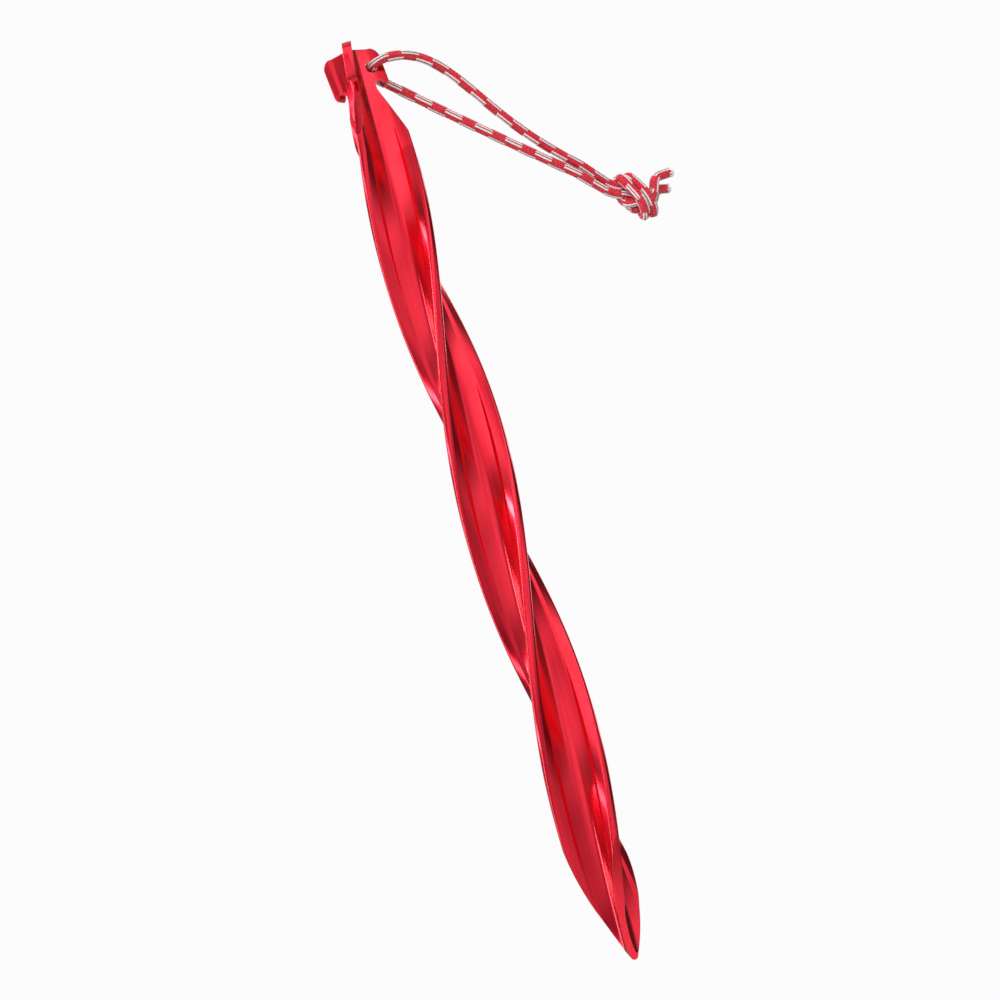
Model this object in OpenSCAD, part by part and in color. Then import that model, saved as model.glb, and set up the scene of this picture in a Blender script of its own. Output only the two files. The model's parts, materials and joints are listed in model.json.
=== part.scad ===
// Swirled tent stake: a twisted three-arm beam with a hooked head and a knotted pull loop of braided cord.
//
// The origin is the tip of the point and +Z runs up the stake's axis to the head. The arm with the cord
// hole points along +X at the height of that hole, and the hole runs along Y. Sizes are in millimetres.

/* [Beam] */
// Length from the tip to the top of the head
stake_length = 254; // [200:1:305]
// Radius of the circle round the three arms
beam_radius = 9.3; // [8.5:0.1:10]
// Thickness of an arm's web
web_thickness = 1.7; // [1.4:0.1:2]
// Thickness of the rib along an arm's rim
rib_thickness = 2.6; // [2.2:0.1:2.8]
// Width of that rib
rib_width = 3; // [2.5:0.1:3.2]
// Radius of the hollow between two arms
valley_radius = 2.5; // [1.5:0.5:3.5]
// Length in which the beam makes one right-handed turn
twist_pitch = 231; // [200:1:300]
// How far the head lags behind that pitch in degrees, where the twisting jaw gripped it
grip_lag = 16; // [0:1:20]
// Length of the tapered point
point_length = 40; // [34:1:50]

/* [Head] */
// Radius to which the head is turned down
head_radius = 8.5; // [8.3:0.1:9]
// Depth of the notch's roof under the top of the head
roof_depth = 10; // [9.5:0.1:12]
// How far the hook's tooth hangs below the notch's roof
tooth_drop = 1.4; // [1:0.1:1.8]
// Radius that the notch leaves of each arm
neck_radius = 4.6; // [4.4:0.1:5]
// Depth under the top of the head at which the arms are whole again
flare_depth = 27; // [24:1:32]

/* [Cord] */
// Diameter of the cord
cord_diameter = 2.6; // [2.2:0.1:2.7]
// Diameter of the yarn core inside the braided sheath
core_diameter = 1.7; // [1.2:0.1:1.8]
// Diameter of the hole for the cord
hole_diameter = 3.4; // [3.2:0.1:3.6]
// Length of the loop from its hole to its knot
loop_length = 78; // [70:1:100]
// Angle of the loop under the horizontal
loop_droop = 34; // [10:1:36]
// Height of the front leg's arch over the straight line
front_arch = 8.3; // [6:0.1:9]
// Sag of the rear leg under the straight line
rear_sag = 0.5; // [0:0.1:2]

/* [Knot] */
// Greatest radius of the knot
knot_radius = 5.6; // [5:0.1:6.5]
// Length of the knot
knot_length = 9; // [8:0.5:12]
// Length of the upper free tail
upper_tail_length = 7.5; // [5:0.5:12]
// Length of the lower free tail
lower_tail_length = 5.5; // [5:0.5:12]

/* [Hidden] */

$fn = 48;
beam_colour = "crimson";
sheath_colour = "firebrick";
core_colour = "whitesmoke";
seal_colour = "lightgray";

// Beam
twist_rate = 360 / twist_pitch;    // degrees per millimetre
grip_height = 32;                  // stretch under the head that the jaw held back
slice_count = 54;
rim_round = 1;
rim_steps = 3;
shoulder_width = 1.2;              // from the web's full width to the rib's
shoulder_steps = 3;
valley_steps = 3;
clear = 0.4;                       // how far the turned outline stands outside an arm that it leaves whole
point_round = 1;
point_slope = atan(2 * (beam_radius + clear) / point_length);
point_apex = point_round / sin(point_slope) - point_round;
point_steps = 12;

// Head
top_round = 2.6;
notch_round = 1.2;
notch_height = 2.5;                // from the notch's roof down to its narrowest place
tooth_width = 1.5;
tooth_tip = 0.5;                   // flat at the tooth's lower end

// Cord
cord_radius = cord_diameter / 2;
core_radius = core_diameter / 2;
hole_height = stake_length - 5.5;
hole_offset = 5;
leg_spread = 3.4;                  // from the arm's middle plane to a leg's centreline at the hole
leg_pitch = 1.35;                  // from the loop's centreline to a leg's centreline at the knot
knot_drop = 1;                     // from the straight line down to the knot's centreline
arch_scale = 12.2;                 // brings the peak of u * (1 - u)^4 to 1
mouth_start = 1.9;                 // across the loop, where the cord starts to turn out of the hole's mouth
mouth_end = 1.4;                   // along the loop, where it has turned
overrun = 0.6;
bar_sides = 28;

// Places along the loop where the cord is let bend, and half the gap left in the cord there
near_bend = 21;
mid_bend = 41;
far_bend = 60;
side_gap = 1.3;
plane_gap = 1.7;

// Knot and tails
knot_start = loop_length + 1.5;
knot_middle = knot_start + knot_length / 2;
upper_tail_angle = 42;
lower_tail_angle = 28;
upper_tail_root = [knot_middle + 2.6, -2.4, 5.2];
lower_tail_root = [knot_middle + 4.6, -0.7, 3.2];
wrap_depth = 0.4;
tail_gap = 1.2;
seal_radius = cord_radius + 0.1;
seal_length = 1;

function ease(u) = u * u * (3 - 2 * u);

// Radius of the point's ogive at height z
function point_radius(z) = (beam_radius + clear) * (1 - pow(1 - (z + point_apex) / point_length, 2));

// A leg's place in the loop's own frame at the distance s from the hole: along, across and over the loop
function leg_y(s) = leg_spread * (1 - ease(s / loop_length));
function front_leg(s) = let (u = s / loop_length)
    [s, -leg_y(s), front_arch * arch_scale * u * pow(1 - u, 4) - (knot_drop - leg_pitch) * ease(u)];
function rear_leg(s) = let (u = s / loop_length)
    [s, leg_y(s), -rear_sag * sin(180 * u) - (knot_drop + leg_pitch) * ease(u)];

function front_run(a, b) = [front_leg(a), front_leg(b)];
function rear_run(a, b) = [rear_leg(a), rear_leg(b)];
function reversed(list) = [for (i = [len(list) - 1 : -1 : 0]) list[i]];

function unit(v) = v / norm(v);
// The point beyond the end of the line from one point to another, to cut clean through an end
function beyond(from, to) = to + overrun * unit(to - from);

module rod(from, to, radius) {
    along = unit(to - from);
    translate(from)
        rotate([0, acos(along.z), atan2(along.y, along.x)])
            cylinder(h = norm(to - from), r = radius);
}

// A straight length of the cord's sheath, and of its core
module sheath(run) {
    difference() {
        rod(run[0], run[1], cord_radius);
        rod(beyond(run[1], run[0]), beyond(run[0], run[1]), core_radius);
    }
}
module core(run) {
    rod(run[0], run[1], core_radius);
}

// A solid through a row of rings with the same number of points, each anticlockwise about the way forward
module lofted(rings) {
    count = len(rings[0]);
    last = len(rings) - 1;
    polyhedron(
        points = [for (ring = rings, p = ring) p],
        faces = concat(
            [[for (i = [0 : count - 1]) i]],
            [for (row = [0 : last - 1], i = [0 : count - 1])
                let (j = (i + 1) % count, base = row * count)
                [base + i, base + count + i, base + count + j]],
            [for (row = [0 : last - 1], i = [0 : count - 1])
                let (j = (i + 1) % count, base = row * count)
                [base + i, base + count + j, base + j]],
            [[for (i = [count - 1 : -1 : 0]) last * count + i]]
        )
    );
}

// A round bar along a bent path that never runs straight up
function way_at(path, i) = let (last = len(path) - 1)
    i == 0 ? unit(path[1] - path[0]) :
    i == last ? unit(path[last] - path[last - 1]) :
    unit(unit(path[i] - path[i - 1]) + unit(path[i + 1] - path[i]));
function ring_at(path, i, radius) =
    let (way = way_at(path, i), side = unit(cross(way, [0, 0, 1])), up = cross(side, way))
    [for (turn = [0 : bar_sides - 1]) let (a = -360 * turn / bar_sides)
        path[i] + radius * (cos(a) * side + sin(a) * up)];
module bent_bar(path, radius) {
    lofted([for (i = [0 : len(path) - 1]) ring_at(path, i, radius)]);
}

// The loop's own frame: X along the loop from the hole, Y across it, Z over it
module in_loop() {
    translate([hole_offset, 0, hole_height]) rotate([0, loop_droop, 0]) children();
}

// An arc's points about a centre, from one angle to another
function arc(centre, radius, from, to, steps) =
    [for (i = [0 : steps]) let (a = from + (to - from) * i / steps) centre + radius * [cos(a), sin(a)]];
function turned(p, angle) = [p.x * cos(angle) - p.y * sin(angle), p.x * sin(angle) + p.y * cos(angle)];

// Outline of one arm along +X, from the middle of the valley on its right round its rim
valley_middle = (web_thickness / 2 + valley_radius) / sin(60);
shoulder_start = beam_radius - rib_width - shoulder_width;
shoulder = [for (i = [0 : shoulder_steps]) let (u = i / shoulder_steps)
    [shoulder_start + shoulder_width * u, (web_thickness + (rib_thickness - web_thickness) * ease(u)) / 2]];
arm_outline = concat(
    arc(valley_middle * [cos(60), -sin(60)], valley_radius, 150, 90, valley_steps),
    [for (p = shoulder) [p.x, -p.y]],
    arc([beam_radius - rim_round, rim_round - rib_thickness / 2], rim_round, -90, 0, rim_steps),
    arc([beam_radius - rim_round, rib_thickness / 2 - rim_round], rim_round, 0, 90, rim_steps),
    reversed(shoulder)
);
section = [for (turn = [0 : 120 : 240], p = arm_outline) turned(p, turn)];

// Angle of the arms at height z, counted from the height of the cord hole
function wind(z) = twist_rate * z - grip_lag * max(0, z - stake_length + grip_height) / grip_height;
function arm_angle(z) = wind(z) - wind(hole_height);

// The twisted extrusion, a little longer than the stake at both ends
module twisted_beam() {
    low = -1;
    high = stake_length + 1;
    lofted([
        for (i = [0 : slice_count]) let (z = low + (high - low) * i / slice_count)
            [for (p = section) let (q = turned(p, arm_angle(z))) [q.x, q.y, z]]
    ]);
}

// Half outline of the beam: the point, the flare, the notch with its tooth, and the head's rounded shoulder
module turned_outline() {
    outer = beam_radius + clear;
    top = stake_length;
    roof = top - roof_depth;
    flare_slope = (beam_radius - neck_radius) / (flare_depth - roof_depth - notch_height);
    tooth_in = head_radius - tooth_width;
    tooth_end = roof - tooth_drop;
    polygon(concat(
        [for (a = [0 : 16 : 64]) point_round * [sin(a), 1 - cos(a)]],
        [for (i = [1 : point_steps]) let (z = (point_length - point_apex) * pow(i / point_steps, 1.3))
            [point_radius(z), z]],
        [[outer, top - flare_depth - clear / flare_slope],
         [neck_radius, roof - notch_height]],
        [for (a = [180 : -30 : 90])
            [neck_radius + notch_round * (1 + cos(a)), roof + notch_round * (sin(a) - 1)]],
        [[tooth_in - tooth_tip, roof],
         [tooth_in, tooth_end + tooth_tip],
         [tooth_in + tooth_tip, tooth_end],
         [tooth_in + 2 * tooth_tip, tooth_end],
         [head_radius, tooth_end + 2 * tooth_tip]],
        [for (a = [0 : 15 : 90])
            [head_radius + top_round * (cos(a) - 1), top + top_round * (sin(a) - 1)]],
        [[0, top]]
    ));
}

module stake_beam() {
    color(beam_colour) difference() {
        intersection() {
            twisted_beam();
            rotate_extrude() turned_outline();
        }
        translate([hole_offset, 0, hole_height]) rotate([90, 0, 0])
            cylinder(h = 3 * rib_thickness, d = hole_diameter, center = true);
    }
}

// The bight: the stretch of cord through the hole, with the start of both legs
bight_end = near_bend - side_gap;
bight_stations = [mouth_end, 6, 12, bight_end];
bight_path = concat(
    reversed([for (s = bight_stations) front_leg(s)]),
    [[0, -mouth_start, 0], [0, mouth_start, 0]],
    [for (s = bight_stations) rear_leg(s)]
);
bight_last = len(bight_path) - 1;
bight_cut = concat(
    [beyond(bight_path[1], bight_path[0])],
    [for (i = [1 : bight_last - 1]) bight_path[i]],
    [beyond(bight_path[bight_last - 1], bight_path[bight_last])]
);
module bight_sheath() {
    color(sheath_colour) in_loop() difference() {
        bent_bar(bight_path, cord_radius);
        bent_bar(bight_cut, core_radius);
    }
}
module bight_core() { color(core_colour) in_loop() bent_bar(bight_path, core_radius); }

// The two legs between the bight and the knot
front_near_run = front_run(near_bend + side_gap, mid_bend - plane_gap);
rear_near_run = rear_run(near_bend + side_gap, mid_bend - plane_gap);
front_mid_run = front_run(mid_bend + plane_gap, far_bend - side_gap);
rear_mid_run = rear_run(mid_bend + plane_gap, far_bend - side_gap);
front_far_run = front_run(far_bend + side_gap, loop_length - side_gap);
rear_far_run = rear_run(far_bend + side_gap, loop_length - side_gap);

module front_near_sheath() { color(sheath_colour) in_loop() sheath(front_near_run); }
module front_near_core() { color(core_colour) in_loop() core(front_near_run); }
module rear_near_sheath() { color(sheath_colour) in_loop() sheath(rear_near_run); }
module rear_near_core() { color(core_colour) in_loop() core(rear_near_run); }
module front_mid_sheath() { color(sheath_colour) in_loop() sheath(front_mid_run); }
module front_mid_core() { color(core_colour) in_loop() core(front_mid_run); }
module rear_mid_sheath() { color(sheath_colour) in_loop() sheath(rear_mid_run); }
module rear_mid_core() { color(core_colour) in_loop() core(rear_mid_run); }
module front_far_sheath() { color(sheath_colour) in_loop() sheath(front_far_run); }
module front_far_core() { color(core_colour) in_loop() core(front_far_run); }
module rear_far_sheath() { color(sheath_colour) in_loop() sheath(rear_far_run); }
module rear_far_core() { color(core_colour) in_loop() core(rear_far_run); }

// The knot: both strands wound round each other, as one turned body whose waves are the wraps
module knot_body(inset) {
    half = knot_length / 2 - inset;
    radius = knot_radius - inset;
    translate([knot_middle, 0, -knot_drop]) rotate([0, 90, 0]) rotate_extrude()
        polygon(concat(
            [[0, -half]],
            [for (a = [-80 : 10 : 80])
                [radius * (1 + cos(a)) / 2 - wrap_depth * (1 - cos(6 * a)) / 2, half * sin(a) / sin(80)]],
            [[0, half]]
        ));
}
module knot_sheath() {
    color(sheath_colour) in_loop() difference() {
        knot_body(0);
        knot_body(cord_radius);
    }
}
module knot_core() { color(core_colour) in_loop() knot_body(cord_radius); }

// A free tail, from just outside the knot to its cut end
function tail_run(root, angle, length) = let (along = [cos(angle), 0, sin(angle)])
    [root + tail_gap * along, root + (length - seal_length) * along];
upper_tail_run = tail_run(upper_tail_root, upper_tail_angle, upper_tail_length);
lower_tail_run = tail_run(lower_tail_root, lower_tail_angle, lower_tail_length);

// The melted end of a tail, a button a little wider than the cord
module seal(run) {
    along = (run[1] - run[0]) / norm(run[1] - run[0]);
    rod(run[1], run[1] + seal_length * along, seal_radius);
}
module upper_tail_sheath() { color(sheath_colour) in_loop() sheath(upper_tail_run); }
module upper_tail_core() { color(core_colour) in_loop() core(upper_tail_run); }
module upper_tail_seal() { color(seal_colour) in_loop() seal(upper_tail_run); }
module lower_tail_sheath() { color(sheath_colour) in_loop() sheath(lower_tail_run); }
module lower_tail_core() { color(core_colour) in_loop() core(lower_tail_run); }
module lower_tail_seal() { color(seal_colour) in_loop() seal(lower_tail_run); }

stake_beam();
bight_sheath();
bight_core();
front_near_sheath();
front_near_core();
rear_near_sheath();
rear_near_core();
front_mid_sheath();
front_mid_core();
rear_mid_sheath();
rear_mid_core();
front_far_sheath();
front_far_core();
rear_far_sheath();
rear_far_core();
knot_sheath();
knot_core();
upper_tail_sheath();
upper_tail_core();
upper_tail_seal();
lower_tail_sheath();
lower_tail_core();
lower_tail_seal();
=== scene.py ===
"""Looks of a twisted tent stake with a knotted pull loop of braided cord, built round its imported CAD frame.

Named lengths are in millimetres and meshes are turned into metres when they are made. The loop has its own
frame, as in the CAD: X runs along the loop from the cord hole, Y across it and Z over it.
"""

import json
import math

import bpy
import numpy as np
from mathutils import Matrix, Vector


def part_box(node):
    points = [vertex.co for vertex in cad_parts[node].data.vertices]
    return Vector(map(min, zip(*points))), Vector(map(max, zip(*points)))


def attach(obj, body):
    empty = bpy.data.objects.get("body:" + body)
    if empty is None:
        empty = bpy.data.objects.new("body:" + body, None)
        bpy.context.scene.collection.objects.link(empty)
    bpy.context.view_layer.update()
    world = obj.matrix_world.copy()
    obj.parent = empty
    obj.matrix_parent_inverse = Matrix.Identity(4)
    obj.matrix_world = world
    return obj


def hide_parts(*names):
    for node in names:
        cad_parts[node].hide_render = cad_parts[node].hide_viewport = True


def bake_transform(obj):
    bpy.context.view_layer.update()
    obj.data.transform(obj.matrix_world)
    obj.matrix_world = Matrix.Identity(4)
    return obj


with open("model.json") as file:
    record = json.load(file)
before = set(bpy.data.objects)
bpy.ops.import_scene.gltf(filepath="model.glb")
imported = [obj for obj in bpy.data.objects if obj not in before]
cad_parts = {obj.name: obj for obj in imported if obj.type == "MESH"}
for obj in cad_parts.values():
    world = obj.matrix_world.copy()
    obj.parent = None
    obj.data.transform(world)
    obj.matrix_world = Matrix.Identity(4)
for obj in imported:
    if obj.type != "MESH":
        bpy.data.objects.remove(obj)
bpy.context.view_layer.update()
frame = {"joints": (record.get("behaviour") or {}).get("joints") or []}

MM = 0.001

# Beam
STAKE_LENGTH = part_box("stake_beam")[1].z / MM
BEAM_RADIUS = 9.3
WEB_THICKNESS = 1.7
RIB_THICKNESS = 2.6
RIB_WIDTH = 3.0
SHOULDER_WIDTH = 1.2
VALLEY_RADIUS = 2.5
TWIST_PITCH = 231.0
GRIP_LAG = 16.0
GRIP_HEIGHT = 32.0
RIM_ROUND = 1.0
POINT_LENGTH = 40.0
CLEAR = 0.4
POINT_ROUND = 1.0

# Head
HEAD_RADIUS = 8.5
ROOF_DEPTH = 10.0
TOOTH_DROP = 1.4
TOOTH_WIDTH = 1.5
TOOTH_TIP = 0.5
NECK_RADIUS = 4.6
NOTCH_ROUND = 1.2
NOTCH_HEIGHT = 2.5
FLARE_DEPTH = 27.0
TOP_ROUND = 2.6
HOLE_RADIUS = 1.7

# Cord and its loop
CORD_RADIUS = 1.3
CORE_RADIUS = 0.85
LINING_RADIUS = 0.94
LOOP_LENGTH = 78.0
LOOP_DROOP = math.radians(34)
LEG_SPREAD = 3.4
LEG_PITCH = 1.35
FRONT_ARCH = 8.3
ARCH_SCALE = 12.2
REAR_SAG = 0.5
KNOT_DROP = 1.0
MOUTH = 1.9
PIECE_CUTS = (10.0, 31.0, 50.5, 69.0, 75.0)
KNOT_MIDDLE = LOOP_LENGTH + 6.0

# Tails: place of the root in the loop's frame, angle over the loop's line, and length
UPPER_TAIL = (np.array([KNOT_MIDDLE + 2.6, -2.4, 5.2]), math.radians(42), 7.5)
LOWER_TAIL = (np.array([KNOT_MIDDLE + 4.6, -0.7, 3.2]), math.radians(28), 5.5)
SEAL_LENGTH = 1.0
SEAL_OVERLAP = 0.35
SEAL_BULGE = 0.1

# How far a tail's own piece reaches into the knot, and its bend out of it
TAIL_LEAD = 1.6

# Knot, and how many points of its strands are left off where the tails leave it
KNOT_TURN = math.radians(60)
KNOT_TILT = math.radians(25)
KNOT_LOOSENESS = 1.45
BEAD_STEP = 0.8
TIGHTENING_ROUNDS = 62
CONTACT = 0.97 * 2 * CORD_RADIUS
KNOT_TRIM = 3
SMOOTHING_WINDOW = 3.0
SMOOTHING_START = LOOP_LENGTH - 8

# Braid
YARNS_EACH_WAY = 8
BRAID_PITCH = 8.6
YARN_HALF_WIDTH = 0.33
YARN_HALF_THICKNESS = 0.16
WEAVE_DEPTH = 0.09
YARN_SIDES = 8
CORD_STEP = 0.28
TRACER_ROWS = 4
TRACER_PERIOD = 9.3
TRACER_SHOWN = 5.8
TRACER_HALF_WIDTH = 0.25
TRACER_OFFSET = 0.29
TRACER_HALF_THICKNESS = 0.1
TRACER_PROUD = 0.04
TRACER_RISE = 0.07
REAR_TRACER_ROLL = math.radians(45)

# Camera, with its angles in degrees, and floor
CAMERA_PLACE = (-225.8, -446.1, 33.0)
CAMERA_TURN = 15.907
CAMERA_RISE = 9.083
CAMERA_ROLL = 16.119
FRAME_WIDTHS_TO_DISTANCE = 1.497
ENLARGEMENT = 1.27
FRAME_SHIFT = (0.272, 0.112)
FLOOR_HEIGHT = -350.0
SENSOR_WIDTH = 36.0


# ---------------------------------------------------------------------------------------------- geometry help


def unit(v):
    return v / np.linalg.norm(v, axis=-1, keepdims=True)


def ease(u):
    u = np.clip(u, 0, 1)
    return u * u * (3 - 2 * u)


def joint_place(name):
    """A joint's place in millimetres."""
    joint = next(j for j in frame["joints"] if j["name"] == name)
    return np.array(joint["pos_m"]) / MM


HOLE = joint_place("loop_swing")


def from_loop(points):
    """Points in the loop's own frame, moved to the stake's frame. Both are in millimetres."""
    points = np.asarray(points, float)
    c, s = math.cos(LOOP_DROOP), math.sin(LOOP_DROOP)
    x, y, z = points[..., 0], points[..., 1], points[..., 2]
    return HOLE + np.stack([x * c + z * s, y, -x * s + z * c], -1)


def resample(points, step):
    """The same line with points about step apart."""
    lengths = np.linalg.norm(np.diff(points, axis=0), axis=1)
    along = np.concatenate([[0], np.cumsum(lengths)])
    count = int(round(along[-1] / step)) + 1
    places = np.linspace(0, along[-1], count)
    return np.stack([np.interp(places, along, points[:, k]) for k in range(3)], 1)


def rounded(points, rounds=3):
    """A line with its corners cut off again and again, which keeps its ends."""
    for _ in range(rounds):
        a, b = points[:-1], points[1:]
        cut = np.stack([0.75 * a + 0.25 * b, 0.25 * a + 0.75 * b], 1).reshape(-1, 3)
        points = np.concatenate([points[:1], cut[1:-1], points[-1:]])
    return points


def smoothed(points, step, window, start_x, rounds=2):
    """A line whose points beyond start_x are running averages, which takes out kinks. Its ends stay."""
    half = int(round(window / step / 2))
    weights = np.ones(2 * half + 1) / (2 * half + 1)
    for _ in range(rounds):
        before, after = np.repeat(points[:1], half, 0), np.repeat(points[-1:], half, 0)
        padded = np.concatenate([before, points, after])
        mean = np.stack([np.convolve(padded[:, k], weights, "valid") for k in range(3)], 1)
        share = ease((points[:, 0] - start_x) / window)
        share[[0, -1]] = 0
        points = points + (mean - points) * share[:, None]
    return points


def carried_frames(points, first_normal):
    """Tangents, and normals that are carried along a line without twisting."""
    tangents = unit(np.gradient(points, axis=0))
    normals = np.zeros_like(points)
    normal = first_normal
    for i, tangent in enumerate(tangents):
        normal = unit(normal - np.dot(normal, tangent) * tangent)
        normals[i] = normal
    return tangents, normals


def new_object(name, points, faces, attributes=None, smooth=True):
    """A mesh object from points in millimetres. Attributes are arrays with one value for each point."""
    mesh = bpy.data.meshes.new(name)
    mesh.from_pydata((np.asarray(points) * MM).tolist(), [], faces)
    for label, values in (attributes or {}).items():
        layer = mesh.attributes.new(label, "FLOAT", "POINT")
        layer.data.foreach_set("value", np.asarray(values, np.float32))
    mesh.polygons.foreach_set("use_smooth", [smooth] * len(mesh.polygons))
    mesh.validate()
    mesh.update()
    obj = bpy.data.objects.new(name, mesh)
    bpy.context.scene.collection.objects.link(obj)
    return obj


class Bundle:
    """Tubes that are gathered into one mesh."""

    def __init__(self):
        self.points, self.faces, self.along, self.across, self.tint = [], [], [], [], []
        self.count = 0

    def tube(self, rings, along, tint=0.0):
        """A closed tube through rings of points, of shape (rings, sides, 3)."""
        rows, sides = rings.shape[:2]
        base = self.count
        i = np.arange(rows - 1)[:, None] * sides
        j = np.arange(sides)[None, :]
        k = (j + 1) % sides
        quads = np.stack([i + j, i + k, i + sides + k, i + sides + j], -1).reshape(-1, 4) + base
        self.faces += quads.tolist()
        self.faces.append([base + n for n in range(sides - 1, -1, -1)])
        self.faces.append([base + (rows - 1) * sides + n for n in range(sides)])
        self.points.append(rings.reshape(-1, 3))
        self.along.append(np.repeat(along, sides))
        self.across.append(np.tile(np.arange(sides) / sides, rows))
        self.tint.append(np.full(rows * sides, tint))
        self.count += rows * sides

    def build(self, name):
        attributes = {
            "along": np.concatenate(self.along),
            "across": np.concatenate(self.across),
            "tint": np.concatenate(self.tint),
        }
        return new_object(name, np.concatenate(self.points), self.faces, attributes)


# ------------------------------------------------------------------------------------------------------- beam


def wind(z):
    """The arms' angle in degrees at height z, counted from the tip."""
    lag = GRIP_LAG * np.maximum(0, z - STAKE_LENGTH + GRIP_HEIGHT) / GRIP_HEIGHT
    return 360 / TWIST_PITCH * z - lag


def arc(centre, radius, start, end, steps):
    angles = np.radians(np.linspace(start, end, steps + 1))
    return np.stack([centre[0] + radius * np.cos(angles), centre[1] + radius * np.sin(angles)], 1)


def beam_section():
    """The outline of the three arms, anticlockwise."""
    valley = (WEB_THICKNESS / 2 + VALLEY_RADIUS) / math.sin(math.radians(60))
    middle = (valley * math.cos(math.radians(60)), -valley * math.sin(math.radians(60)))
    rim, half = BEAM_RADIUS - RIM_ROUND, RIB_THICKNESS / 2
    share = np.linspace(0, 1, 11)
    out = BEAM_RADIUS - RIB_WIDTH - SHOULDER_WIDTH * (1 - share)
    width = (WEB_THICKNESS + (RIB_THICKNESS - WEB_THICKNESS) * ease(share)) / 2
    arm = np.concatenate([
        arc(middle, VALLEY_RADIUS, 150, 90, 12),
        np.stack([out, -width], 1),
        arc((rim, RIM_ROUND - half), RIM_ROUND, -90, 0, 8),
        arc((rim, half - RIM_ROUND), RIM_ROUND, 0, 90, 8),
        np.stack([out, width], 1)[::-1],
    ])
    turned = []
    for turn in (0, 2 * math.pi / 3, 4 * math.pi / 3):
        c, s = math.cos(turn), math.sin(turn)
        turned.append(arm @ np.array([[c, s], [-s, c]]))
    return np.concatenate(turned)


def lofted(name, rings):
    """A closed solid through rings of points."""
    bundle = Bundle()
    bundle.tube(rings, np.arange(len(rings), dtype=float))
    return bundle.build(name)


def twisted_prism():
    section = beam_section()
    heights = np.linspace(-1, STAKE_LENGTH + 1, 320)
    angles = np.radians(wind(heights) - wind(HOLE[2]))
    x = section[None, :, 0] * np.cos(angles)[:, None] - section[None, :, 1] * np.sin(angles)[:, None]
    y = section[None, :, 0] * np.sin(angles)[:, None] + section[None, :, 1] * np.cos(angles)[:, None]
    z = np.repeat(heights[:, None], len(section), 1)
    return lofted("twisted_prism", np.stack([x, y, z], -1))


def turned_outline():
    """Radius and height along the beam's turned outline, from the tip to the top."""
    outer = BEAM_RADIUS + CLEAR
    slope = math.atan(2 * outer / POINT_LENGTH)
    apex = POINT_ROUND / math.sin(slope) - POINT_ROUND
    end = POINT_LENGTH - apex
    heights = end * np.linspace(0, 1, 41)[1:] ** 1.3
    point = np.stack([outer * (1 - (1 - (heights + apex) / POINT_LENGTH) ** 2), heights], 1)
    tip = arc((0, POINT_ROUND), POINT_ROUND, -86, -26, 6)
    roof = STAKE_LENGTH - ROOF_DEPTH
    flare = (BEAM_RADIUS - NECK_RADIUS) / (FLARE_DEPTH - ROOF_DEPTH - NOTCH_HEIGHT)
    tooth = HEAD_RADIUS - TOOTH_WIDTH
    tooth_end = roof - TOOTH_DROP
    return np.concatenate([
        tip[:-1],
        point[heights > tip[-2, 1] + 0.05],
        [[outer, STAKE_LENGTH - FLARE_DEPTH - CLEAR / flare], [NECK_RADIUS, roof - NOTCH_HEIGHT]],
        arc((NECK_RADIUS + NOTCH_ROUND, roof - NOTCH_ROUND), NOTCH_ROUND, 180, 90, 8),
        [[tooth - TOOTH_TIP, roof], [tooth, tooth_end + TOOTH_TIP]],
        [[tooth + TOOTH_TIP, tooth_end], [tooth + 2 * TOOTH_TIP, tooth_end]],
        [[HEAD_RADIUS, tooth_end + 2 * TOOTH_TIP]],
        arc((HEAD_RADIUS - TOP_ROUND, STAKE_LENGTH - TOP_ROUND), TOP_ROUND, 0, 90, 12),
    ])


def turned_solid():
    outline = turned_outline()
    angles = np.radians(np.arange(0, 360, 2))
    x = outline[:, None, 0] * np.cos(angles)[None, :]
    y = outline[:, None, 0] * np.sin(angles)[None, :]
    z = np.repeat(outline[:, None, 1], len(angles), 1)
    return lofted("turned_solid", np.stack([x, y, z], -1))


def hole_cutter():
    angles = np.radians(np.arange(0, 360, 6))
    across = np.array([3.0, -3.0]) * RIB_THICKNESS
    x = HOLE[0] + HOLE_RADIUS * np.cos(angles)[None, :] + 0 * across[:, None]
    z = HOLE[2] + HOLE_RADIUS * np.sin(angles)[None, :] + 0 * across[:, None]
    y = HOLE[1] + np.repeat(across[:, None], len(angles), 1)
    return lofted("hole_cutter", np.stack([x, y, z], -1))


def apply_modifiers(obj):
    evaluated = obj.evaluated_get(bpy.context.evaluated_depsgraph_get())
    mesh = bpy.data.meshes.new_from_object(evaluated)
    obj.modifiers.clear()
    obj.data = mesh


def carve(obj, tool, operation):
    """Boolean of obj with tool, which is then gone."""
    modifier = obj.modifiers.new("carve", "BOOLEAN")
    modifier.object = tool
    modifier.operation = operation
    modifier.solver = "EXACT"
    bpy.context.view_layer.update()
    apply_modifiers(obj)
    bpy.data.objects.remove(tool)


def build_beam():
    beam = twisted_prism()
    carve(beam, turned_solid(), "INTERSECT")
    carve(beam, hole_cutter(), "DIFFERENCE")
    beam.name = "stake_beam_finish"
    beam.data.name = beam.name
    beam.data.materials.clear()
    beam.data.materials.append(anodised_aluminium())
    beam.data.shade_smooth()
    beam.data.set_sharp_from_angle(angle=math.radians(30))
    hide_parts("stake_beam")
    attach(beam, "stake")


# ------------------------------------------------------------------------------------------------------- knot


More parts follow.
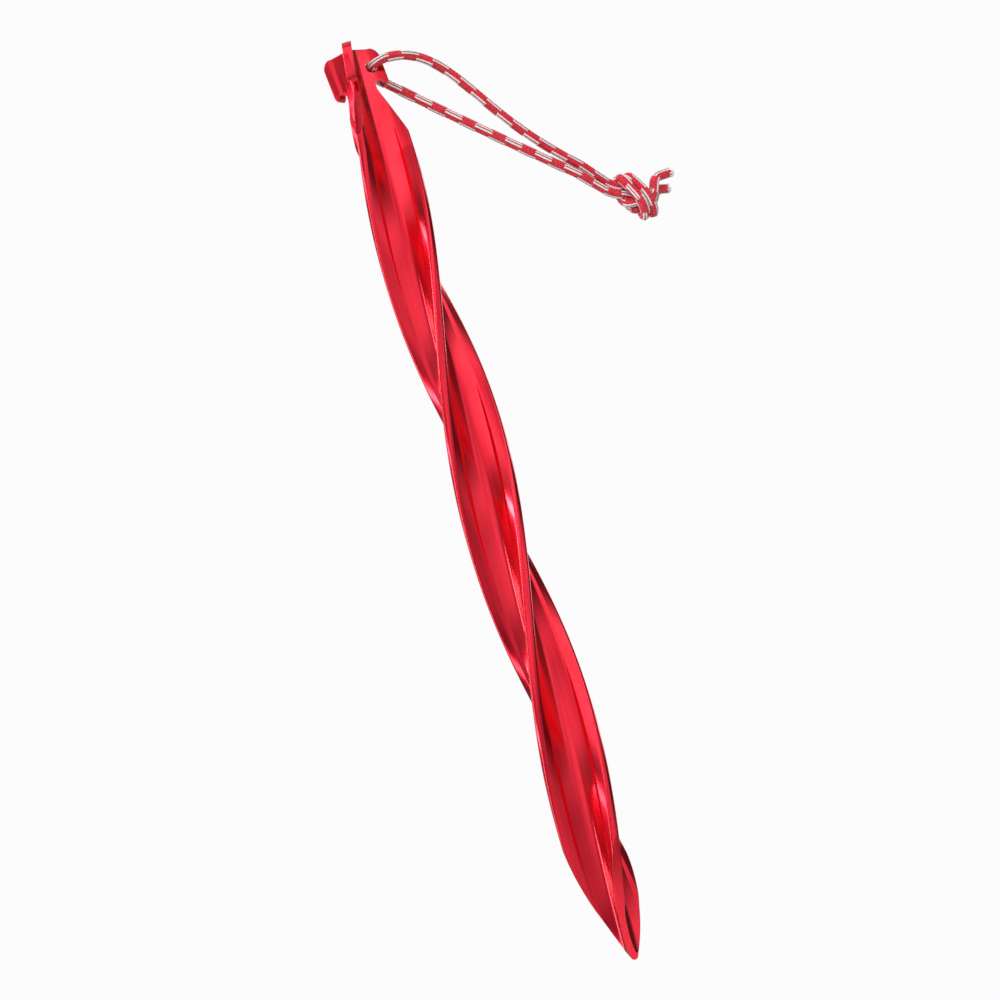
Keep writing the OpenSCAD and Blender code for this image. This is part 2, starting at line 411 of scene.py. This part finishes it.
def loose_strand():
    """The middle line of a loose overhand knot, with a straight lead at both ends."""
    t = np.linspace(-2.45, 2.45, 900)
    open_up = ease((2.35 - np.abs(t)) / 0.5)
    x = (t ** 5 - 10 * t) * 0.62
    y = -(t ** 3 - 3 * t) * 2.6 * open_up
    z = (t ** 4 - 4 * t ** 2 + 2) * 1.9 * open_up
    c, s = math.cos(KNOT_TURN), math.sin(KNOT_TURN)
    return np.stack([x, y * c - z * s, y * s + z * c], 1) * KNOT_LOOSENESS


def resample_pair(a, b):
    """Both strands with points at the same places along their shared middle line."""
    middle = (a + b) / 2
    along = np.concatenate([[0], np.cumsum(np.linalg.norm(np.diff(middle, axis=0), axis=1))])
    places = np.linspace(0, along[-1], int(round(along[-1] / BEAD_STEP)) + 1)
    return [np.stack([np.interp(places, along, p[:, k]) for k in range(3)], 1) for p in (a, b)]


def draw_in(points, spacing):
    """Moves neighbours along a line towards their spacing, and returns how far each point moved."""
    start = points.copy()
    for first in (0, 1):
        i = np.arange(first, len(points) - 1, 2)
        gap = points[i + 1] - points[i]
        length = np.linalg.norm(gap, axis=1, keepdims=True)
        shift = gap * (length - spacing) / length / 2
        points[i] += shift
        points[i + 1] -= shift
    return points - start


def resist_bending(points, chord):
    """Pushes points four apart away from each other where the line bends too tightly."""
    for first in range(4):
        i = np.arange(first, len(points) - 4, 4)
        gap = points[i + 4] - points[i]
        length = np.linalg.norm(gap, axis=1, keepdims=True)
        shift = gap * np.minimum(length - chord, 0) / length * 0.2
        points[i] += shift
        points[i + 4] -= shift


def lay_side_by_side(both, n):
    """Keeps the two strands touching, square to their shared line."""
    middle = (both[:n] + both[n:]) / 2
    tangents = unit(np.gradient(middle, axis=0))
    across = both[:n] - both[n:]
    across = across - 0.5 * np.sum(across * tangents, axis=1, keepdims=True) * tangents
    across[1:-1] = 0.8 * across[1:-1] + 0.1 * (across[2:] + across[:-2])
    across = unit(across) * CORD_RADIUS
    both[:n] = middle + across
    both[n:] = middle - across


def push_apart(both, i, j):
    """Parts the points of touching stretches of cord."""
    gap = both[j] - both[i]
    length = np.linalg.norm(gap, axis=1, keepdims=True)
    bite = np.minimum(length - CONTACT, 0)
    shift = gap * bite / length * 0.4
    moved = np.zeros_like(both)
    np.add.at(moved, i, shift)
    np.add.at(moved, j, -shift)
    touching = bite[:, 0] < 0
    contacts = np.bincount(i[touching], minlength=len(both)) + np.bincount(j[touching], minlength=len(both))
    both += moved / np.maximum(contacts * 0.5, 1)[:, None]


def tie_knot():
    """Tightens a loose overhand knot of two strands, and returns both about the knot's centre."""
    middle = resample(loose_strand(), BEAD_STEP)
    normals = carried_frames(middle, np.array([0.0, 0.0, 1.0]))[1]
    a, b = middle + normals * CORD_RADIUS, middle - normals * CORD_RADIUS
    for turn in range(TIGHTENING_ROUNDS):
        a, b = resample_pair(a, b)
        n = len(a)
        shrink = 1.0 if turn >= TIGHTENING_ROUNDS - 5 else 0.95
        both = np.concatenate([a, b])
        order = np.concatenate([np.arange(n), np.arange(n)])
        i, j = np.where(np.triu(np.abs(order[:, None] - order[None, :]) > 4, 1))
        close = np.linalg.norm(both[i] - both[j], axis=1) < CONTACT + 2.5
        i, j = i[close], j[close]
        ends = np.array([0, n, n - 1, 2 * n - 1])
        held = both[ends].copy()
        for _ in range(30):
            moved = draw_in((both[:n] + both[n:]) / 2, BEAD_STEP * shrink)
            both[:n] += moved
            both[n:] += moved
            resist_bending(both[:n], 2.6 * shrink)
            resist_bending(both[n:], 2.6 * shrink)
            lay_side_by_side(both, n)
            push_apart(both, i, j)
            both[ends] = held
        a, b = both[:n].copy(), both[n:].copy()
    gaps = np.linalg.norm(both[:, None] - both[None], axis=2)
    touching = (gaps < 3.2) & (np.abs(order[:, None] - order[None, :]) > 8)
    knotted = touching.any(1)
    centre = (both[knotted].min(0) + both[knotted].max(0)) / 2
    first, last = order[knotted].min(), order[knotted].max()
    c, s = math.cos(KNOT_TILT), math.sin(KNOT_TILT)
    tilt = np.array([[c, 0, s], [0, 1, 0], [-s, 0, c]])
    inside = slice(first - 1, last + 2)
    return (a[inside] - centre) @ tilt, (b[inside] - centre) @ tilt


# ------------------------------------------------------------------------------------------------------- cord


def leg_y(s):
    return LEG_SPREAD * (1 - ease(s / LOOP_LENGTH))


def front_leg(s):
    u = s / LOOP_LENGTH
    rise = FRONT_ARCH * ARCH_SCALE * u * (1 - u) ** 4 - (KNOT_DROP - LEG_PITCH) * ease(u)
    return np.stack([s, -leg_y(s), rise], -1)


def rear_leg(s):
    u = s / LOOP_LENGTH
    drop = -REAR_SAG * np.sin(math.pi * u) - (KNOT_DROP + LEG_PITCH) * ease(u)
    return np.stack([s, leg_y(s), drop], -1)


def tail_line(tail):
    root, angle, length = tail
    way = np.array([math.cos(angle), 0, math.sin(angle)])
    return np.stack([root + way * d for d in np.linspace(0.6, length - SEAL_LENGTH, 6)])


def cord_line():
    """The cord's middle line in the loop's frame, from its upper tail's end to its lower tail's end."""
    knot_a, knot_b = tie_knot()
    centre = np.array([KNOT_MIDDLE, 0, -KNOT_DROP])
    stations = np.arange(2.0, 67.0, 2.0)
    parts = [
        tail_line(UPPER_TAIL)[::-1],
        (knot_b[:-KNOT_TRIM] + centre)[::-1],
        rear_leg(stations)[::-1],
        np.array([[0, MOUTH, 0], [0, 0, 0], [0, -MOUTH, 0]]),
        front_leg(stations),
        knot_a[:-KNOT_TRIM] + centre,
        tail_line(LOWER_TAIL),
    ]
    line = resample(rounded(np.concatenate(parts)), CORD_STEP)
    return smoothed(line, CORD_STEP, SMOOTHING_WINDOW, SMOOTHING_START)


def hole_index(line):
    """The index of the line's point in the middle of the cord hole."""
    return int(np.argmin(np.abs(line[:, 1]) + np.abs(line[:, 0]) * 10))


def crossings(line, x, half):
    """The index where a leg of the line crosses the plane at x. Half 0 is the rear leg, half 1 the front."""
    hole = hole_index(line)
    if half == 0:
        leg = line[:hole, 0]
        return hole - 1 - int(np.argmax(leg[::-1] >= x))
    return hole + int(np.argmax(line[hole:, 0] >= x))


def weave(angle):
    """How far a yarn stands over the braid's middle surface, as a share of the weave's depth."""
    wave = np.sin(4 * angle)
    return wave * (1.3 - 0.3 * wave * wave)


def yarn_rings(line, tangents, normals, angle, radius, half_width, half_thickness, sides):
    """Rings of a flat yarn that winds round the cord's line at an angle and a radius."""
    binormals = np.cross(tangents, normals)
    out = normals * np.cos(angle)[:, None] + binormals * np.sin(angle)[:, None]
    middle = line + out * radius[:, None]
    way = unit(np.gradient(middle, axis=0))
    side = unit(np.cross(way, out))
    up = np.cross(side, way)
    turn = 2 * math.pi * np.arange(sides) / sides
    c, s = np.cos(turn), np.sin(turn)
    flat_c = np.sign(c) * np.abs(c) ** 0.8 * half_width
    flat_s = np.sign(s) * np.abs(s) ** 0.8 * half_thickness
    wide = flat_c[None, :, None] * side[:, None, :]
    thick = flat_s[None, :, None] * up[:, None, :]
    return middle[:, None, :] + wide + thick


def round_rings(line, tangents, normals, radius, sides):
    binormals = np.cross(tangents, normals)
    turn = 2 * math.pi * np.arange(sides) / sides
    c, s = np.cos(turn)[None, :, None], np.sin(turn)[None, :, None]
    out = c * normals[:, None, :] + s * binormals[:, None, :]
    return line[:, None, :] + out * np.asarray(radius)[..., None, None]


class Cord:
    """The whole cord's line with everything that is wound along it."""

    def __init__(self):
        self.loop_line = cord_line()
        self.line = from_loop(self.loop_line)
        self.tangents, self.normals = carried_frames(self.line, np.array([0.0, 1.0, 0.0]))
        steps = np.linalg.norm(np.diff(self.line, axis=0), axis=1)
        self.along = np.concatenate([[0], np.cumsum(steps)])
        hole = hole_index(self.loop_line)
        self.roll = REAR_TRACER_ROLL * ease((self.along[hole] + 4 - self.along) / 8)
        self.yarns = [self.yarn(way, k) for way in (1, -1) for k in range(YARNS_EACH_WAY)]
        self.tracers = [self.tracer(row, side) for row in range(TRACER_ROWS) for side in (-1, 1)]
        self.core = self.round_tube(CORE_RADIUS, 14)
        self.lining = self.round_tube(LINING_RADIUS, 20)

    def round_tube(self, radius, sides):
        return round_rings(self.line, self.tangents, self.normals, np.full(len(self.line), radius), sides)

    def yarn(self, way, k):
        angle = way * 2 * math.pi * self.along / BRAID_PITCH + 2 * math.pi * k / YARNS_EACH_WAY
        middle = CORD_RADIUS - YARN_HALF_THICKNESS - WEAVE_DEPTH
        radius = middle + way * WEAVE_DEPTH * weave(angle)
        return yarn_rings(self.line, self.tangents, self.normals, angle, radius,
                          YARN_HALF_WIDTH, YARN_HALF_THICKNESS, YARN_SIDES)

    def tracer(self, row, side):
        stagger = (row % 2) * 0.5
        phase = (self.along / TRACER_PERIOD + stagger) % 1.0
        shown = TRACER_SHOWN / TRACER_PERIOD
        up = ease(phase / TRACER_RISE) * ease((shown - phase) / TRACER_RISE)
        low = CORD_RADIUS - 2 * YARN_HALF_THICKNESS
        radius = low + (CORD_RADIUS + TRACER_PROUD - low) * up
        angle = self.roll + 2 * math.pi * row / TRACER_ROWS + side * TRACER_OFFSET
        return yarn_rings(self.line, self.tangents, self.normals, angle, radius,
                          TRACER_HALF_WIDTH, TRACER_HALF_THICKNESS, 6)


def build_cord_piece(cord, name, ranges, bodies, nodes, zone, materials):
    """One stretch of the cord as a braided sheath, its tracer yarns and its core.

    It rides on its first body when it has no zone; a piece with a zone, which is given along the loop, is
    left in place without a body."""
    kinds = [
        ("braid", cord.yarns + [cord.lining], "sheath", "cord_sheath"),
        ("tracers", cord.tracers, None, "cord_sheath"),
        ("yarn_core", [cord.core], "core", "cord_core"),
    ]
    for kind, strands, part, slot in kinds:
        bundle = Bundle()
        for number, rings in enumerate(strands):
            for start, end in ranges:
                tint = (number * 0.618) % 1.0
                bundle.tube(rings[start:end + 1], cord.along[start:end + 1], tint)
        piece = bundle.build(f"{name}_{kind}")
        piece.data.materials.append(materials[kind])
        if part and nodes:
            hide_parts(*[f"{node}_{part}" for node in nodes])
        if zone is None:
            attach(piece, bodies[0])
        else:
            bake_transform(piece)


def build_seal(cord, name, end, body, node, material):
    """The melted end of a tail: a bulging button with an uneven face."""
    place = cord.line[-1] if end else cord.line[0]
    way = unit(cord.tangents[-1] if end else -cord.tangents[0])
    normal = cord.normals[-1 if end else 0]
    depths = np.linspace(-SEAL_OVERLAP, SEAL_LENGTH, 12)
    share = (depths - depths[0]) / (depths[-1] - depths[0])
    radii = (CORD_RADIUS + SEAL_BULGE) * np.sqrt(np.clip(1 - (2.05 * np.abs(share - 0.42)) ** 3.2, 0.04, 1))
    sides = 28
    turn = 2 * math.pi * np.arange(sides) / sides
    binormal = np.cross(way, normal)
    rough = 1 + 0.035 * np.sin(3 * turn + 1.1) + 0.025 * np.sin(7 * turn)
    out = np.cos(turn)[:, None] * normal + np.sin(turn)[:, None] * binormal
    spokes = out[None] * (radii[:, None] * rough[None, :])[..., None]
    rings = (place + way * depths[:, None])[:, None, :] + spokes
    bundle = Bundle()
    bundle.tube(rings, depths)
    piece = bundle.build(name)
    piece.data.materials.append(material)
    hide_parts(node)
    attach(piece, body)


def build_cord():
    cord = Cord()
    materials = {"braid": red_yarn(), "tracers": silver_yarn(), "yarn_core": white_yarn()}
    last = len(cord.line) - 1
    rear = [crossings(cord.loop_line, x, 0) for x in PIECE_CUTS]
    front = [crossings(cord.loop_line, x, 1) for x in PIECE_CUTS]
    before = int(round(TAIL_LEAD / CORD_STEP))

    def nearest(tail):
        return int(np.argmin(np.linalg.norm(cord.loop_line - tail[0], axis=1)))

    upper_exit, lower_exit = nearest(UPPER_TAIL) + before, nearest(LOWER_TAIL) - before

    def zone(start, end):
        return from_loop([start, 0, 0]), from_loop([end, 0, 0])

    def legs(k):
        return [(rear[k + 1], rear[k]), (front[k], front[k + 1])]

    def tail_zone(tail):
        root, angle, _ = tail
        way = np.array([math.cos(angle), 0, math.sin(angle)])
        return from_loop(root - way), from_loop(root + TAIL_LEAD * way)

    pieces = [
        ("bight", [(rear[0], front[0])], ["bight"], ["bight"], None),
        ("near_legs", legs(0), ["bight", "loop_near"], ["front_near", "rear_near"], zone(15, 27)),
        ("mid_legs", legs(1), ["loop_near", "loop_mid"], ["front_mid", "rear_mid"], zone(35, 47)),
        ("far_legs", legs(2), ["loop_mid", "loop_far"], ["front_far", "rear_far"], zone(54, 66)),
        ("neck", legs(3), ["loop_far", "knot"], [], zone(70, 75)),
        ("knot", [(upper_exit, rear[4]), (front[4], lower_exit)], ["knot"], ["knot"], None),
        ("upper_tail", [(0, upper_exit)], ["knot", "upper_tail"], ["upper_tail"], tail_zone(UPPER_TAIL)),
        ("lower_tail", [(lower_exit, last)], ["knot", "lower_tail"], ["lower_tail"], tail_zone(LOWER_TAIL)),
    ]
    for name, ranges, bodies, nodes, where in pieces:
        build_cord_piece(cord, name, ranges, bodies, nodes, where, materials)
    seal = melted_end()
    build_seal(cord, "upper_tail_melted_end", False, "upper_tail", "upper_tail_seal", seal)
    build_seal(cord, "lower_tail_melted_end", True, "lower_tail", "lower_tail_seal", seal)


# -------------------------------------------------------------------------------------------------- materials


class Nodes:
    """Short calls for building the node tree of a world, or of a new material that is given by its name."""

    def __init__(self, owner):
        if isinstance(owner, str):
            owner = bpy.data.materials.new(owner)
            owner.use_nodes = True
        self.material = owner
        self.tree = owner.node_tree
        self.shader = self.tree.nodes.get("Principled BSDF")

    def add(self, kind, inputs=None, **settings):
        node = self.tree.nodes.new(kind)
        for key, value in settings.items():
            setattr(node, key, value)
        for key, value in (inputs or {}).items():
            self.put(node, key, value)
        return node

    def put(self, node, key, value):
        socket = node.inputs[key]
        if isinstance(value, bpy.types.NodeSocket):
            self.tree.links.new(value, socket)
        else:
            socket.default_value = value

    def shade(self, **inputs):
        for key, value in inputs.items():
            self.put(self.shader, key.replace("_", " "), value)

    def ramp(self, factor, *stops):
        node = self.add("ShaderNodeValToRGB", {"Fac": factor})
        elements = node.color_ramp.elements
        while len(elements) < len(stops):
            elements.new(0.5)
        for element, (place, colour) in zip(elements, stops):
            element.position = place
            element.color = (*colour, 1)
        return node.outputs["Color"]

    def remap(self, value, low, high):
        node = self.add("ShaderNodeMapRange", {"Value": value, "To Min": low, "To Max": high})
        return node.outputs["Result"]

    def math(self, operation, a, b=0.0):
        node = self.add("ShaderNodeMath", {0: a, 1: b}, operation=operation)
        return node.outputs[0]


def anodised_aluminium():
    """Dyed anodised aluminium with fine drawing lines along the arms, and paler pinkish edges: partly the
    lighter dye of anodised edges, partly a painted highlight along the rims.
    """
    n = Nodes("anodised_aluminium")
    place = n.add("ShaderNodeTexCoord").outputs["Object"]
    split = n.add("ShaderNodeSeparateXYZ", {0: place})
    height = n.math("DIVIDE", split.outputs["Z"], MM)
    held = n.math("MAXIMUM", n.math("SUBTRACT", height, STAKE_LENGTH - GRIP_HEIGHT), 0.0)
    turned = n.math("MULTIPLY", height, -math.radians(360 / TWIST_PITCH))
    turned = n.math("ADD", turned, n.math("MULTIPLY", held, math.radians(GRIP_LAG / GRIP_HEIGHT)))
    straight = n.add("ShaderNodeVectorRotate", {"Vector": place, "Angle": turned}, rotation_type="Z_AXIS")
    drawn = n.add("ShaderNodeMapping", {"Vector": straight.outputs[0], "Scale": (1500, 1500, 22)})
    lines = n.add("ShaderNodeTexNoise", {"Vector": drawn.outputs[0], "Scale": 1.0, "Detail": 4.0})
    cloud = n.add("ShaderNodeTexNoise", {"Vector": place, "Scale": 55.0, "Detail": 2.0})
    grain = n.add("ShaderNodeTexNoise", {"Vector": place, "Scale": 9000.0, "Detail": 2.0})
    soft = n.add("ShaderNodeBevel", {"Radius": 0.3 * MM}, samples=6)
    geometry = n.add("ShaderNodeNewGeometry")
    edge = n.add("ShaderNodeVectorMath", {0: soft.outputs[0], 1: geometry.outputs["Normal"]},
                 operation="DOT_PRODUCT")
    # Edge mask from the bevelled normal: the edges turn pale pink, partly the lighter dye of anodised edges
    # and partly a painted highlight along the rims.
    pale_edge_and_highlight = n.math("SUBTRACT", 1.0, edge.outputs["Value"])
    pale_edge_and_highlight = n.add("ShaderNodeMapRange", {"Value": pale_edge_and_highlight, "From Max": 0.12, "To Max": 0.4}).outputs["Result"]
    pale_edge_and_highlight = n.math("MULTIPLY", pale_edge_and_highlight, n.remap(cloud.outputs["Fac"], 0.3, 1.0))
    shade = n.math("ADD", n.math("MULTIPLY", lines.outputs["Fac"], 0.6),
                   n.math("MULTIPLY", cloud.outputs["Fac"], 0.4))
    dye = n.ramp(shade, (0.36, (0.74, 0.004, 0.022)), (0.62, (0.90, 0.006, 0.034)))
    # Mixes a pinkish-white painted highlight colour into the dye along the edges.
    pale = n.add("ShaderNodeMix", {"Factor": pale_edge_and_highlight, "A": dye, "B": (0.9, 0.3, 0.33, 1)}, data_type="RGBA")
    rough = n.math("ADD", n.remap(lines.outputs["Fac"], 0.14, 0.30),
                   n.remap(grain.outputs["Fac"], -0.03, 0.03))
    scored = n.add("ShaderNodeBump", {"Height": lines.outputs["Fac"], "Strength": 0.6, "Distance": 0.03 * MM,
                                      "Normal": soft.outputs[0]})
    n.shade(Base_Color=pale.outputs["Result"], Metallic=1.0, Roughness=rough, Normal=scored.outputs[0])
    n.shade(Coat_Weight=0.6, Coat_Roughness=0.12, Coat_IOR=1.5)
    return n.material


def yarn_material(name, dark, light, roughness, sheen):
    """Bundled filaments: fine lines along a yarn, with each yarn's own shade."""
    n = Nodes(name)
    along = n.add("ShaderNodeAttribute", attribute_name="along").outputs["Fac"]
    across = n.add("ShaderNodeAttribute", attribute_name="across").outputs["Fac"]
    tint = n.add("ShaderNodeAttribute", attribute_name="tint").outputs["Fac"]
    spread = {0: n.math("MULTIPLY", across, 22.0), 1: n.math("MULTIPLY", along, 0.9),
              2: n.math("MULTIPLY", tint, 37.0)}
    place = n.add("ShaderNodeCombineXYZ", spread)
    filaments = n.add("ShaderNodeTexNoise", {"Vector": place.outputs[0], "Scale": 1.0, "Detail": 3.0})
    shade = n.math("ADD", n.math("MULTIPLY", filaments.outputs["Fac"], 0.8), n.math("MULTIPLY", tint, 0.2))
    colour = n.ramp(shade, (0.3, dark), (0.75, light))
    bump = n.add("ShaderNodeBump", {"Height": filaments.outputs["Fac"], "Strength": 0.5,
                                    "Distance": 0.04 * MM})
    n.shade(Base_Color=colour, Roughness=roughness, Normal=bump.outputs[0])
    n.shade(Sheen_Weight=sheen, Sheen_Roughness=0.4)
    return n


def red_yarn():
    return yarn_material("red_braided_yarn", (0.40, 0.004, 0.012), (0.68, 0.016, 0.045), 0.5, 0.25).material


def silver_yarn():
    n = yarn_material("silver_tracer_yarn", (0.50, 0.47, 0.47), (0.86, 0.83, 0.82), 0.38, 0.1)
    n.shade(Metallic=0.25)
    return n.material


def white_yarn():
    return yarn_material("white_core_yarn", (0.66, 0.65, 0.62), (0.88, 0.87, 0.84), 0.7, 0.4).material


def melted_end():
    """Melted polyester: grey-white, with darker singed patches."""
    n = Nodes("melted_cord_end")
    place = n.add("ShaderNodeTexCoord").outputs["Object"]
    patches = n.add("ShaderNodeTexNoise", {"Vector": place, "Scale": 900.0, "Detail": 4.0})
    singed, grey, pale = (0.32, 0.24, 0.24), (0.62, 0.57, 0.57), (0.8, 0.78, 0.77)
    colour = n.ramp(patches.outputs["Fac"], (0.3, singed), (0.5, grey), (0.72, pale))
    bump = n.add("ShaderNodeBump", {"Height": patches.outputs["Fac"], "Strength": 0.6, "Distance": 0.15 * MM})
    n.shade(Base_Color=colour, Roughness=n.remap(patches.outputs["Fac"], 0.3, 0.6), Normal=bump.outputs[0])
    n.shade(Subsurface_Weight=0.15, Subsurface_Scale=0.4 * MM)
    return n.material


# ------------------------------------------------------------------------------------------------------ stage


def build_floor():
    """A plain pale floor under the stake that fades into the pale background."""
    radius, rings, sides = 3000.0, 24, 72
    reach = radius * np.linspace(0.02, 1, rings) ** 1.5
    turn = 2 * math.pi * np.arange(sides) / sides
    x = reach[:, None] * np.cos(turn)[None, :]
    y = reach[:, None] * np.sin(turn)[None, :]
    points = np.stack([x, y, np.full_like(x, FLOOR_HEIGHT)], -1).reshape(-1, 3)
    faces = [list(range(sides))]
    for row in range(rings - 1):
        for j in range(sides):
            k = (j + 1) % sides
            faces.append([row * sides + j, (row + 1) * sides + j, (row + 1) * sides + k, row * sides + k])
    floor = new_object("floor", points, faces)
    n = Nodes("pale_floor")
    place = n.add("ShaderNodeTexCoord").outputs["Object"]
    distance = n.add("ShaderNodeVectorMath", {0: place}, operation="LENGTH").outputs["Value"]
    fade = n.add("ShaderNodeMapRange", {"Value": distance, "From Min": 0.45, "From Max": 1.6},
                 interpolation_type="SMOOTHSTEP").outputs["Result"]
    clear = n.add("ShaderNodeBsdfTransparent")
    mix = n.add("ShaderNodeMixShader", {0: fade, 1: n.shader.outputs[0], 2: clear.outputs[0]})
    n.put(n.tree.nodes["Material Output"], "Surface", mix.outputs[0])
    n.shade(Base_Color=(0.86, 0.86, 0.86, 1), Roughness=0.9)
    floor.data.materials.append(n.material)


# The room round the stake, as an angle from the camera's side (left is negative) and its brightness there
ROOM = [
    (-180, 0.75), (-152, 0.50), (-124, 0.22), (-108, 0.16), (-103, 7.0), (-97, 7.0), (-92, 0.25),
    (-70, 0.45), (-48, 0.95), (-10, 0.90), (14, 0.70), (40, 0.95), (62, 0.45), (80, 0.10), (108, 0.07),
    (124, 0.60), (134, 3.0), (141, 0.55), (180, 0.75),
]
ROOM_PEAK = max(bright for _, bright in ROOM)

# Level bands of the room, as an angle over the horizon and a share of the panels' brightness there
BANDS = [
    (-90, 0.55), (-30, 0.60), (-14, 0.42), (-4, 0.95), (6, 1.35), (14, 1.00), (20, 0.50), (25, 2.20),
    (31, 2.20), (37, 0.50), (60, 0.95), (90, 1.20),
]
BAND_PEAK = max(bright for _, bright in BANDS)


def build_world():
    """Near-white to the camera. The object sees a room of upright panels that level bands cross."""
    bpy.context.scene.view_settings.view_transform = "Standard"
    world = bpy.data.worlds.new("studio")
    bpy.context.scene.world = world
    world.use_nodes = True
    n = Nodes(world)
    place = n.add("ShaderNodeTexCoord").outputs["Generated"]
    faced = n.add("ShaderNodeVectorRotate", {"Vector": place, "Angle": math.radians(CAMERA_TURN)},
                  rotation_type="Z_AXIS")
    split = n.add("ShaderNodeSeparateXYZ", {0: faced.outputs[0]})
    angle = n.math("ARCTAN2", split.outputs["X"], n.math("MULTIPLY", split.outputs["Y"], -1.0))
    share = n.math("ADD", n.math("DIVIDE", angle, 2 * math.pi), 0.5)
    panels = n.ramp(share, *[(turn / 360 + 0.5, (bright / ROOM_PEAK,) * 3) for turn, bright in ROOM])
    rise = n.math("ADD", n.math("DIVIDE", n.math("ARCSINE", split.outputs["Z"]), math.pi), 0.5)
    bands = n.ramp(rise, *[(angle / 180 + 0.5, (bright / BAND_PEAK,) * 3) for angle, bright in BANDS])
    strength = n.math("MULTIPLY", bands, ROOM_PEAK * BAND_PEAK)
    path = n.add("ShaderNodeLightPath")
    room = n.add("ShaderNodeBackground", {"Color": panels, "Strength": strength})
    seen = n.add("ShaderNodeBackground", {"Color": (0.97, 0.97, 0.97, 1), "Strength": 1.0})
    mix = n.add("ShaderNodeMixShader", {0: path.outputs["Is Camera Ray"], 1: room.outputs[0],
                                        2: seen.outputs[0]})
    n.put(n.tree.nodes["World Output"], "Surface", mix.outputs[0])


def add_light(name, place, target, width, height, power):
    """A soft light that metal doesn't mirror, because the room's panels do that."""
    light = bpy.data.lights.new(name, "AREA")
    light.shape = "RECTANGLE"
    light.size, light.size_y = width * MM, height * MM
    light.energy = power
    obj = bpy.data.objects.new(name, light)
    obj.location = Vector(place) * MM
    way = (Vector(target) - Vector(place)).normalized()
    obj.rotation_euler = way.to_track_quat("-Z", "Y").to_euler()
    obj.visible_glossy = False
    bpy.context.scene.collection.objects.link(obj)


def build_lights():
    middle = (20, 0, STAKE_LENGTH / 2)
    add_light("key", (-420, -360, 560), middle, 300, 500, 4.2)
    add_light("fill", (420, -520, 200), middle, 420, 620, 1.2)


def build_camera():
    """The camera at the viewing angle, aimed at the middle of its enlarged frame.

    It has no lens shift, so the stake is also centred when it is seen from another side."""
    turn, rise, roll = (math.radians(a) for a in (CAMERA_TURN, CAMERA_RISE, CAMERA_ROLL))
    look = Vector((math.sin(turn) * math.cos(rise), math.cos(turn) * math.cos(rise), math.sin(rise)))
    right = look.cross(Vector((0, 0, 1))).normalized()
    up = right.cross(look)
    right, up = (right * math.cos(roll) - up * math.sin(roll), up * math.cos(roll) + right * math.sin(roll))
    aim = look * FRAME_WIDTHS_TO_DISTANCE + right * FRAME_SHIFT[0] + up * FRAME_SHIFT[1]
    look = aim.normalized()
    right = look.cross(up).normalized()
    up = right.cross(look)
    data = bpy.data.cameras.new("camera")
    data.sensor_width = SENSOR_WIDTH
    data.lens = SENSOR_WIDTH * aim.length * ENLARGEMENT
    data.clip_start = 0.01
    camera = bpy.data.objects.new("camera", data)
    axes = Matrix((right, up, -look)).transposed().to_4x4()
    camera.matrix_world = Matrix.Translation(Vector(CAMERA_PLACE) * MM) @ axes
    bpy.context.scene.collection.objects.link(camera)
    bpy.context.scene.camera = camera


build_beam()
build_cord()
build_floor()
build_world()
build_lights()
build_camera()
